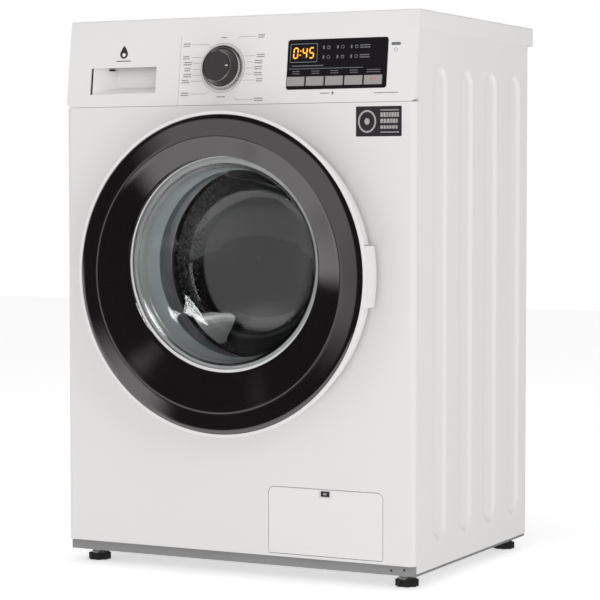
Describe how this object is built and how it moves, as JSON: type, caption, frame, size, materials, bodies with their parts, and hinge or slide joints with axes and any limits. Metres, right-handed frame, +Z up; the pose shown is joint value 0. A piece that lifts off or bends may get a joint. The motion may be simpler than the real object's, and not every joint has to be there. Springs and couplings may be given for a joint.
{
  "type": "front load washing machine",
  "caption": "Upright cabinet with a round hinged door, steel drum, detergent drawer, programme dial, buttons and screw feet; it washes and spins laundry.",
  "frame": {"origin": "middle of the footprint, on the floor", "axes": "+X to the machine's right as seen from the front, +Y to the back, +Z up; the front faces -Y"},
  "size_m": [0.597, 0.533, 0.85],
  "materials": {
    "white_enamel": "satin white enamel on steel sheet",
    "white_plastic": "smooth white moulding",
    "dark_gloss": "dark glossy moulding",
    "black_lens": "black smooth window",
    "silver_plastic": "silver coated plastic",
    "dial_finish": "dark knob with bright skirt",
    "window_glass": "clear pressed glass",
    "grey_rubber": "light grey moulded rubber",
    "black_rubber": "black rubber",
    "galvanised": "zinc coated steel sheet",
    "stainless": "stainless steel sheet",
    "tub_plastic": "grey filled plastic",
    "dark_plastic": "black moulded plastic",
    "cast_weight": "grey cast concrete",
    "cast_alloy": "cast alloy",
    "plain_steel": "plain steel",
    "foot_plastic": "black foot pad on a steel stem"
  },
  "bodies": {
    "cabinet": {"side_left": "white_enamel", "side_right": "white_enamel", "inner_frame": "galvanised", "rear_panel": "galvanised", "base_pan": "galvanised", "front_panel": "white_enamel", "worktop": "white_plastic", "control_panel": "white_plastic", "display_lens": "black_lens", "control_board": "dark_plastic", "dispenser_housing": "tub_plastic", "inlet_valve": "plain_steel", "fill_hose": "black_rubber", "door_lock": "dark_plastic", "drain_pump": "dark_plastic", "drain_hose": "black_rubber", "cord_gland": "dark_plastic", "damper_cylinders": "plain_steel", "panel_screws": "plain_steel", "door_gasket": "grey_rubber", "suspension_springs": "plain_steel", "sump_hose": "black_rubber", "dispenser_hose": "black_rubber", "hinge_bracket": "plain_steel"},
    "tub": {"tub_front": "tub_plastic", "tub_rear": "tub_plastic", "counterweights": "cast_weight", "drum_bearings": "plain_steel", "heater": "plain_steel", "motor_body": "cast_alloy", "drive_belt": "black_rubber", "damper_rods": "plain_steel", "gasket_clamp": "plain_steel"},
    "drum": {"drum_shell": "stainless", "drum_back": "stainless", "drum_lifters": "tub_plastic", "drum_spider": "cast_alloy", "drum_pulley": "cast_alloy"},
    "rotor": {"motor_pulley": "plain_steel"},
    "door": {"door_rim": "white_plastic", "door_cover": "dark_gloss", "door_inner_frame": "tub_plastic", "door_glass": "window_glass", "hinge_leaf": "plain_steel"},
    "handle": {"door_handle": "white_plastic"},
    "hook": {"latch_hook": "plain_steel"},
    "drawer": {"drawer_front": "white_plastic", "drawer_tray": "tub_plastic"},
    "dial": {"program_dial": "dial_finish"},
    "flap": {"service_flap": "white_plastic"},
    "filter": {"pump_filter": "dark_plastic"},
    "button_1": {"push_button_1": "silver_plastic"},
    "button_2": {"push_button_2": "silver_plastic"},
    "button_3": {"push_button_3": "silver_plastic"},
    "button_4": {"push_button_4": "silver_plastic"},
    "button_5": {"push_button_5": "silver_plastic"},
    "leg_front_left": {"foot_front_left": "foot_plastic"},
    "leg_front_right": {"foot_front_right": "foot_plastic"},
    "leg_back_left": {"foot_back_left": "foot_plastic"},
    "leg_back_right": {"foot_back_right": "foot_plastic"}
  },
  "joints": [
    {"name": "tub_bounce", "type": "slide", "parent": "cabinet", "child": "tub", "axis": [0, 0, 1], "range_m": [-0.01, 0.008], "stiffness_N_per_m": 8000, "springref_m": 0.033, "deforming": ["suspension_springs", "sump_hose", "dispenser_hose", "door_gasket"]},
    {"name": "drum_spin", "type": "hinge", "parent": "tub", "child": "drum", "pos_m": [0, -0.0075, 0.475], "axis": [0, 1, 0], "continuous": true},
    {"name": "motor_spin", "type": "hinge", "parent": "tub", "child": "rotor", "pos_m": [-0.02, 0.1905, 0.148], "axis": [0, 1, 0], "continuous": true},
    {"name": "door_swing", "type": "hinge", "parent": "cabinet", "child": "door", "pos_m": [-0.216, -0.2435, 0.4605], "axis": [0, 0, -1], "range_deg": [0, 120]},
    {"name": "handle_pull", "type": "hinge", "parent": "door", "child": "handle", "pos_m": [0.214, -0.2315, 0.4605], "axis": [0, 0, -1], "range_deg": [0, 10], "stiffness_Nm_per_rad": 1, "springref_deg": -5.73},
    {"name": "hook_turn", "type": "hinge", "parent": "door", "child": "hook", "pos_m": [0.197, -0.2295, 0.4605], "axis": [0, 0, -1], "range_deg": [0, 10]},
    {"name": "drawer_slide", "type": "slide", "parent": "cabinet", "child": "drawer", "axis": [0, -1, 0], "range_m": [0, 0.19]},
    {"name": "dial_turn", "type": "hinge", "parent": "cabinet", "child": "dial", "pos_m": [-0.0228, -0.20012, 0.7713], "axis": [0, -0.9925, 0.1223], "continuous": true},
    {"name": "flap_fold", "type": "hinge", "parent": "cabinet", "child": "flap", "pos_m": [0, -0.2045, 0.046], "axis": [1, 0, 0], "range_deg": [0, 90]},
    {"name": "filter_turn", "type": "hinge", "parent": "cabinet", "child": "filter", "pos_m": [0.18, -0.1475, 0.085], "axis": [0, 1, 0], "range_deg": [0, 180]},
    {"name": "button_press_1", "type": "slide", "parent": "cabinet", "child": "button_1", "axis": [0, 0.9925, -0.1223], "range_m": [0, 0.002], "stiffness_N_per_m": 400, "springref_m": -0.001},
    {"name": "button_press_2", "type": "slide", "parent": "cabinet", "child": "button_2", "axis": [0, 0.9925, -0.1223], "range_m": [0, 0.002], "stiffness_N_per_m": 400, "springref_m": -0.001},
    {"name": "button_press_3", "type": "slide", "parent": "cabinet", "child": "button_3", "axis": [0, 0.9925, -0.1223], "range_m": [0, 0.002], "stiffness_N_per_m": 400, "springref_m": -0.001},
    {"name": "button_press_4", "type": "slide", "parent": "cabinet", "child": "button_4", "axis": [0, 0.9925, -0.1223], "range_m": [0, 0.002], "stiffness_N_per_m": 400, "springref_m": -0.001},
    {"name": "button_press_5", "type": "slide", "parent": "cabinet", "child": "button_5", "axis": [0, 0.9925, -0.1223], "range_m": [0, 0.002], "stiffness_N_per_m": 400, "springref_m": -0.001},
    {"name": "leg_screw_front_left", "type": "slide", "parent": "cabinet", "child": "leg_front_left", "axis": [0, 0, -1], "range_m": [0, 0.012]},
    {"name": "leg_screw_front_right", "type": "slide", "parent": "cabinet", "child": "leg_front_right", "axis": [0, 0, -1], "range_m": [0, 0.012]},
    {"name": "leg_screw_back_left", "type": "slide", "parent": "cabinet", "child": "leg_back_left", "axis": [0, 0, -1], "range_m": [0, 0.012]},
    {"name": "leg_screw_back_right", "type": "slide", "parent": "cabinet", "child": "leg_back_right", "axis": [0, 0, -1], "range_m": [0, 0.012]}
  ],
  "couplings": [
    {"joint": "motor_spin", "follows": "drum_spin", "ratio": 11.667},
    {"joint": "hook_turn", "follows": "handle_pull", "ratio": 1}
  ]
}
